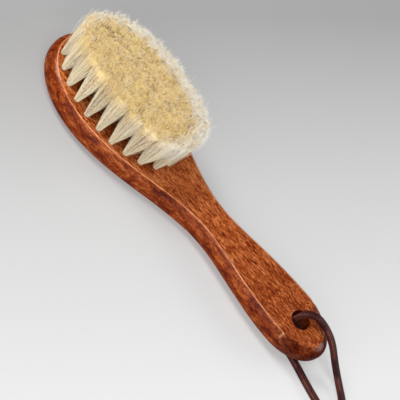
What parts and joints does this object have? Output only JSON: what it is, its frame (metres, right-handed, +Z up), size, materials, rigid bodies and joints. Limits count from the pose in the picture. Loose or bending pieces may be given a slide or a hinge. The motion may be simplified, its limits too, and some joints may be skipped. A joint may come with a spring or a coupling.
{
  "type": "shoe shine brush",
  "caption": "Long-handled shoe shine brush: oval head set with tufts of natural hair, waisted wooden handle, leather hanging lace through the handle end.",
  "frame": {"origin": "on the surface that the wooden back lies on, under the middle of the wood's length and width", "axes": "+X from the head's tip to the handle's end, +Z up, out of the head along the hair, +Y completes the set"},
  "size_m": [0.2382, 0.0559, 0.0354],
  "materials": {
    "lacquered_wood": "stained and lacquered, glossy",
    "brush_hair": "natural hair, satin",
    "anchor_wire": "drawn flat wire",
    "lace_leather": "dyed and waxed, satin"
  },
  "bodies": {
    "root": {"brush_body": "lacquered_wood", "cord_knot": "lace_leather", "hanging_cord": "lace_leather", "tuft_anchors": "anchor_wire", "tuft_centre_01": "brush_hair", "tuft_centre_02": "brush_hair", "tuft_centre_03": "brush_hair", "tuft_inner_01": "brush_hair", "tuft_inner_02": "brush_hair", "tuft_inner_03": "brush_hair", "tuft_inner_04": "brush_hair", "tuft_inner_05": "brush_hair", "tuft_inner_06": "brush_hair", "tuft_inner_07": "brush_hair", "tuft_inner_08": "brush_hair", "tuft_inner_09": "brush_hair", "tuft_inner_10": "brush_hair", "tuft_middle_01": "brush_hair", "tuft_middle_02": "brush_hair", "tuft_middle_03": "brush_hair", "tuft_middle_04": "brush_hair", "tuft_middle_05": "brush_hair", "tuft_middle_06": "brush_hair", "tuft_middle_07": "brush_hair", "tuft_middle_08": "brush_hair", "tuft_middle_09": "brush_hair", "tuft_middle_10": "brush_hair", "tuft_middle_11": "brush_hair", "tuft_middle_12": "brush_hair", "tuft_middle_13": "brush_hair", "tuft_middle_14": "brush_hair", "tuft_middle_15": "brush_hair", "tuft_middle_16": "brush_hair", "tuft_outer_01": "brush_hair", "tuft_outer_02": "brush_hair", "tuft_outer_03": "brush_hair", "tuft_outer_04": "brush_hair", "tuft_outer_05": "brush_hair", "tuft_outer_06": "brush_hair", "tuft_outer_07": "brush_hair", "tuft_outer_08": "brush_hair", "tuft_outer_09": "brush_hair", "tuft_outer_10": "brush_hair", "tuft_outer_11": "brush_hair", "tuft_outer_12": "brush_hair", "tuft_outer_13": "brush_hair", "tuft_outer_14": "brush_hair", "tuft_outer_15": "brush_hair", "tuft_outer_16": "brush_hair", "tuft_outer_17": "brush_hair", "tuft_outer_18": "brush_hair", "tuft_outer_19": "brush_hair", "tuft_outer_20": "brush_hair", "tuft_outer_21": "brush_hair", "tuft_outer_22": "brush_hair"}
  },
  "joints": []
}
